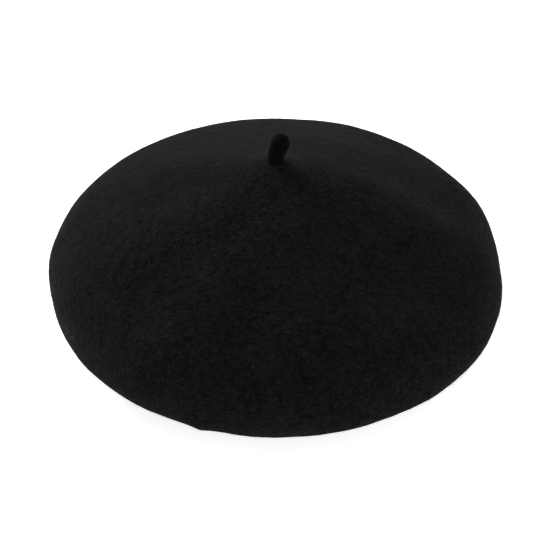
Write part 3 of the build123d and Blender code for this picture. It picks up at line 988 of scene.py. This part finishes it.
def make_care_label(material, thread):
    """Satin tape sewn along its top edge; the rest hangs free below that edge, a little curled."""
    edge_low, edge_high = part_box("care_label_sewn_edge")
    flap_low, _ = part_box("care_label_flap")
    middle = (edge_low.x + edge_high.x) / 2
    width = edge_high.y - edge_low.y
    top, bottom = edge_high.z, flap_low.z

    def place(u, v, depth):
        level = top - (top - bottom) * v
        loose = smoothstep(0.2, 1.0, v)
        curl = 0.10 * MM * math.sin(5.2 * u + 1.1) * loose
        curl += 0.06 * MM * math.sin(11 * u + 6 * v) * loose
        fray = 0.05 * MM * math.sin(83 * u) * smoothstep(0.96, 1.0, v)
        x = middle + curl + depth - CARE_LABEL_CLOTH / 2
        return (x, edge_low.y + width * u, level + fray)

    sheet = label_sheet(45, 35, place, CARE_LABEL_CLOTH)
    label = new_piece("satin_care_label", *sheet, material)
    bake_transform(label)
    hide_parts("care_label_sewn_edge", "care_label_flap")
    loops = []
    count = int(width / LABEL_STITCH_PITCH) - 1
    level = (edge_low.z + edge_high.z) / 2
    face = edge_low.x - 0.05 * MM
    entry = face + 0.2 * MM
    half = LABEL_STITCH_LENGTH / 2
    for column in range(count):
        y = (column - (count - 1) / 2) * LABEL_STITCH_PITCH
        back = math.sqrt((band_radius(level) + BAND_THICKNESS / 2) ** 2 - y**2)
        corners = [(entry, -1), (face, -0.5), (face, 0.5), (entry, 1), (back, 0.5), (back, -0.5)]
        path = [(x, y + half * along, level) for x, along in corners]
        loops.append(tube(path, THREAD_RADIUS, sides=7, closed=True))
    make_thread("care_label_thread", "care_label_stitches", loops, thread)


def lathe(profile, columns, lump, seed, squash=0.0):
    """Surface of revolution round the axis from (radius, height) points, a little uneven."""
    vertices = []
    for radius, height in profile:
        for k in range(columns):
            turn = FULL_TURN * k / columns
            p = Vector((radius * math.cos(turn), radius * math.sin(turn), height))
            uneven = lump * noise.noise(p / (3.5 * MM) + Vector((seed, 0, 0)))
            reach = radius + uneven * min(1.0, radius / (2 * MM))
            level = height + uneven * squash
            vertices.append((reach * math.cos(turn), reach * math.sin(turn), level))
    return vertices, grid_faces(len(profile), columns, True, True)


STEM_NECK_RADIUS = 1.6 * MM
WASHER_THICKNESS = 1.2 * MM
WASHER_TACKS = 6
WASHER_TACK_RADIUS = 9.5 * MM

# A tack's loop of thread: along the washer's rim, and up from its face, in mm
TACK_LOOP = [
    (-1.9, 1.1), (-1.6, 0.1), (-0.7, -0.16), (0.7, -0.16),
    (1.6, 0.1), (1.9, 1.1), (0.5, 1.9), (-0.5, 1.9),
]


def make_stem_fixing(felt, thread):
    """Inside the crown: the stem's knotted root, its felt washer and the washer's tacks."""
    disc_low, disc_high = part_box("stem_backing_disc")
    root_low, root_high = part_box("stem_root")
    rim, knot, neck = disc_high.x, root_high.x, STEM_NECK_RADIUS
    fall = (disc_high.z - disc_low.z - WASHER_THICKNESS) / rim
    face = disc_low.z + fall * rim

    def on_disc(radius, depth):
        return (radius, face - radius * fall + depth)

    flat = np.linspace(HOLE_RADIUS, rim - 0.5 * MM, 9)
    outline = [on_disc(radius, 0.06 * MM) for radius in flat]
    outline += [on_disc(rim - 0.14 * MM, 0.25 * MM)]
    outline += [on_disc(rim - 0.02 * MM, WASHER_THICKNESS / 2)]
    outline += [on_disc(rim - 0.14 * MM, WASHER_THICKNESS - 0.25 * MM)]
    outline += [on_disc(radius, WASHER_THICKNESS - 0.06 * MM) for radius in flat[::-1]]
    disc = new_piece("felt_washer", *lathe(outline, 72, 0.12 * MM, 3.0), felt)
    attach(disc, "hat")
    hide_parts("stem_backing_disc")

    knot_top = root_low.z + 2.2 * MM
    slope = knot * fall
    profile = [
        (0.2 * MM, root_low.z),
        (2.4 * MM, root_low.z + 0.05 * MM),
        (knot * 0.68, root_low.z + 0.5 * MM),
        (knot * 0.88, knot_top - 1.0 * MM),
        (knot * 0.97, knot_top - 0.3 * MM),
        (knot * 0.94, knot_top + 0.2 * MM),
        (knot * 0.7, knot_top + 0.25 * slope),
        (knot * 0.4, knot_top + 0.55 * slope),
        (neck, knot_top + 0.75 * slope),
    ]
    profile += [(neck, z) for z in np.linspace(knot_top + 1.9 * MM, root_high.z - neck, 7)]
    profile += [(neck * 0.8, root_high.z - 0.6 * MM), (0.2 * MM, root_high.z - 0.1 * MM)]
    root = new_piece("stem_knot", *lathe(profile, 48, 0.35 * MM, 9.0, squash=0.4), felt)
    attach(root, "hat")
    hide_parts("stem_root")

    level = face - WASHER_TACK_RADIUS * fall
    loops = []
    for k in range(WASHER_TACKS):
        turn = FULL_TURN / WASHER_TACKS * k
        middle = Vector((math.cos(turn), math.sin(turn), 0)) * WASHER_TACK_RADIUS
        side = Vector((-math.sin(turn), math.cos(turn), 0))
        path = []
        for along, rise in TACK_LOOP:
            path.append(tuple(middle + side * along * MM + Vector((0, 0, level + rise * MM))))
        loops.append(tube(path, THREAD_RADIUS, sides=7, closed=True))
    make_thread("washer_thread", "stem_tack_stitches", loops, thread)


# ---- Camera, lights and floor

CAMERA_ELEVATION = math.radians(37.68)
CAMERA_DISTANCE = 0.90
CAMERA_PIVOT = Vector((0, 0, 0.050))
CAMERA_AIM = Vector((0, 0, 0.0228))
CAMERA_LENS = 95.7
SKY_STRENGTH = 0.58
FLOOR_HALF_SIZE = 12.0


def make_camera():
    """Camera in front of the hat, looking down on it."""
    camera = bpy.data.objects.new("camera", bpy.data.cameras.new("camera"))
    bpy.context.scene.collection.objects.link(camera)
    back = Vector((0, -math.cos(CAMERA_ELEVATION), math.sin(CAMERA_ELEVATION)))
    camera.location = CAMERA_PIVOT + back * CAMERA_DISTANCE
    camera.rotation_euler = (CAMERA_AIM - camera.location).to_track_quat("-Z", "Y").to_euler()
    camera.data.lens = CAMERA_LENS
    camera.data.clip_start = 0.01
    bpy.context.scene.camera = camera


def make_light(name, place, size, power):
    """Round softbox, facing the hat."""
    light = bpy.data.objects.new(name, bpy.data.lights.new(name, "AREA"))
    light.data.shape = "DISK"
    light.data.size = size
    light.data.energy = power
    light.location = place
    light.rotation_euler = (CAMERA_AIM - Vector(place)).to_track_quat("-Z", "Y").to_euler()
    bpy.context.scene.collection.objects.link(light)


def make_stage():
    """White studio: even light all round, a pale floor, a soft light behind and a weak fill."""
    world = bpy.data.worlds.new("studio")
    world.use_nodes = True
    sky = world.node_tree.nodes["Background"]
    sky.inputs["Color"].default_value = (1, 1, 1, 1)
    sky.inputs["Strength"].default_value = SKY_STRENGTH
    bpy.context.scene.world = world
    bpy.context.scene.view_settings.view_transform = "Standard"
    s = Shader("pale_floor")
    s.set(Base_Color=(0.80, 0.80, 0.80, 1), Roughness=1.0, Specular_IOR_Level=0.0)
    s.set(Emission_Color=(1, 1, 1, 1), Emission_Strength=0.78)
    size = FLOOR_HALF_SIZE
    corners = [(-size, -size, 0), (size, -size, 0), (size, size, 0), (-size, size, 0)]
    floor = new_piece("floor", corners, [(0, 1, 2, 3)], s.material, smooth=False)
    make_light("back_left_softbox", (-1.32, 1.28, 1.25), 1.2, 63)
    make_light("right_fill", (1.6, -0.8, 0.25), 0.8, 14)


# ---- The hat

wool = felt_material("wool_felt", (0.0021, 0.0021, 0.0024), (0.0120, 0.0120, 0.0138), 0.0190)
stem_wool = felt_material(
    "stem_felt", (0.0013, 0.0013, 0.0014), (0.0052, 0.0052, 0.0056), 0.005, grain=1.6
)
loose_wool = fibre_material("loose_wool", (0.009, 0.009, 0.010), (0.034, 0.034, 0.037))
leather = leather_material("sweatband_leather")
cotton = woven_material("cotton_tape", (0.006, 0.006, 0.006), (0.020, 0.020, 0.021), 700, 520)
grosgrain = woven_material(
    "grosgrain", (0.004, 0.004, 0.0045), (0.018, 0.018, 0.020), 260, 900, gloss=0.6
)
satin_tones = (0.012, 0.012, 0.013), (0.045, 0.045, 0.048)
satin = woven_material("satin_label", *satin_tones, 900, 1500, gloss=0.45)
thread = thread_material("sewing_thread", (0.006, 0.006, 0.006), (0.020, 0.020, 0.021))
# The care label's ribs run across Y, the line of its sewn edge, so they keep their look if it turns
# about that edge
care_satin = woven_material("care_satin", *satin_tones, 900, 1500, gloss=0.45, axes="YXZ")
label_thread = thread_material("label_thread", (0.020, 0.020, 0.021), (0.060, 0.060, 0.063))

make_camera()
make_stage()

felt_face = make_felt_body(wool)
long_fibre, short_fibre, fuzz = (1.2 * MM, 3.2 * MM), (0.9 * MM, 2.4 * MM), (2.5 * MM, 6.0 * MM)
scatter_fibres("felt_nap", felt_face, 9000, long_fibre, 0.30, off_the_ground, loose_wool)
scatter_fibres(
    "rim_nap", felt_face, 8500, short_fibre, 0.9, rim_weight, loose_wool, RIM_FIBRE_RADIUS
)
scatter_fibres("rim_fuzz", felt_face, 2500, fuzz, 0.55, patchy_weight, loose_wool)
make_stem(stem_wool)
make_sweatband(leather)
make_hem_stitches(thread)
make_joint_stitches(thread)
make_tapes(cotton)
make_bow(grosgrain, thread)
make_size_label(satin, label_thread)
make_care_label(care_satin, label_thread)
make_stem_fixing(stem_wool, thread)
